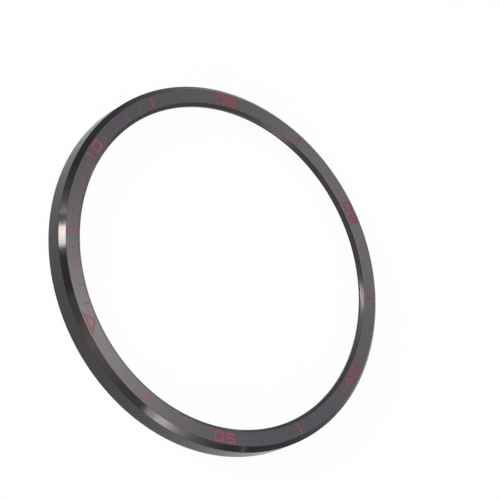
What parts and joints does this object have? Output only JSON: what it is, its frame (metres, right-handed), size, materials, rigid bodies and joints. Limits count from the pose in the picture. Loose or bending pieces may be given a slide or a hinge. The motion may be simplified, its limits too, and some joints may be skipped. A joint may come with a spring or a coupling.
{
  "type": "watch bezel insert",
  "caption": "Engraved bezel ring for a round watch: a thin lip with a red minute scale over a skirt that slips down round the bezel, held by adhesive.",
  "frame": {"origin": "on the ring's axis, in the plane of the skirt's foot, which is the lowest plane of the part", "axes": "+Z along the ring's axis, out of the engraved face; +Y from the centre to minute 0, the triangle; +X to minute 15, so the minutes run clockwise seen from +Z"},
  "size_m": [0.046, 0.046, 0.003],
  "materials": {
    "coated_steel": "satin",
    "red_enamel": "satin",
    "adhesive": "satin"
  },
  "bodies": {
    "root": {"insert_ring": "coated_steel", "adhesive_ring": "adhesive", "triangle_marker": "red_enamel", "numeral_10_one": "red_enamel", "numeral_10_zero": "red_enamel", "numeral_20_two": "red_enamel", "numeral_20_zero": "red_enamel", "numeral_30_three": "red_enamel", "numeral_30_zero": "red_enamel", "numeral_40_four": "red_enamel", "numeral_40_zero": "red_enamel", "numeral_50_five": "red_enamel", "numeral_50_zero": "red_enamel", "five_minute_bar_5": "red_enamel", "five_minute_bar_15": "red_enamel", "five_minute_bar_25": "red_enamel", "five_minute_bar_35": "red_enamel", "five_minute_bar_45": "red_enamel", "five_minute_bar_55": "red_enamel", "minute_tick_1": "red_enamel", "minute_tick_2": "red_enamel", "minute_tick_3": "red_enamel", "minute_tick_4": "red_enamel", "minute_tick_6": "red_enamel", "minute_tick_7": "red_enamel", "minute_tick_8": "red_enamel", "minute_tick_9": "red_enamel", "minute_tick_11": "red_enamel", "minute_tick_12": "red_enamel", "minute_tick_13": "red_enamel", "minute_tick_14": "red_enamel"}
  },
  "joints": []
}
